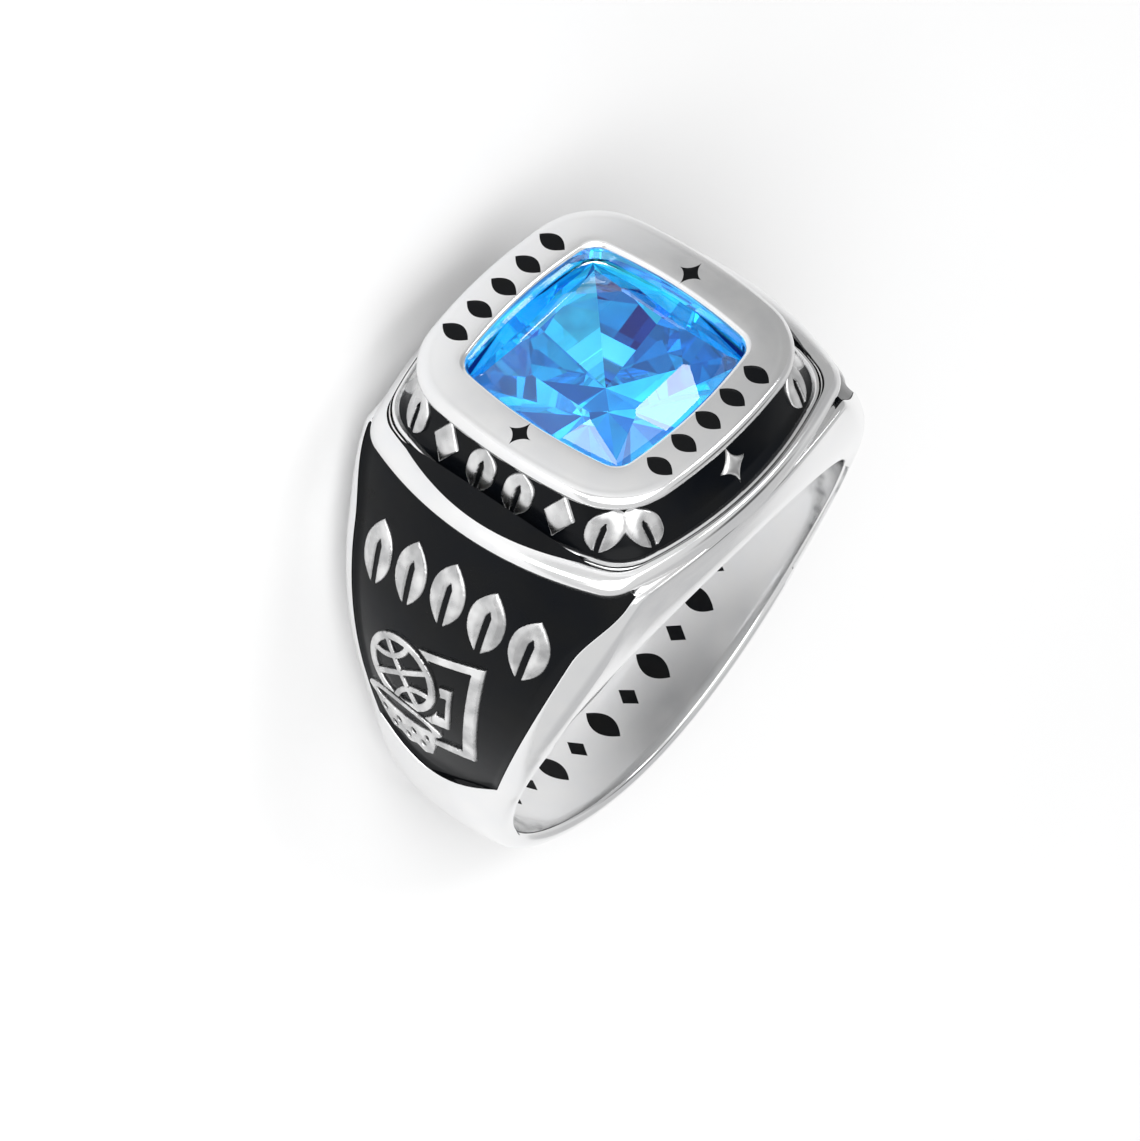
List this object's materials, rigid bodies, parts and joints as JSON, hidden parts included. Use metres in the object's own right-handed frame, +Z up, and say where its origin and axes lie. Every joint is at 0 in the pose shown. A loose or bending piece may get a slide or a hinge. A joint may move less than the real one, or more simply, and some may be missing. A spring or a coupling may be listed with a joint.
{
  "type": "class ring",
  "caption": "Class ring with a square cushion-cut stone in a raised head, a black enamelled wall round it and black enamelled shoulder panels with raised motifs.",
  "frame": {"origin": "centre of the footprint on the table, under the middle of the ring's bounding box", "axes": "+Z up from the table, the ring lying on its side; the head points along -Y, tilted up at its outer side; X runs across the shoulders"},
  "size_m": [0.0224, 0.0278, 0.0155],
  "materials": {
    "silver": "polished sterling silver",
    "stone": "clear blue, faceted and polished",
    "enamel": "glossy black enamel"
  },
  "bodies": {
    "root": {"ring_body": "silver", "stone": "stone", "head_enamel": "enamel", "shoulder_enamel_left": "enamel", "shoulder_enamel_right": "enamel"}
  },
  "joints": []
}
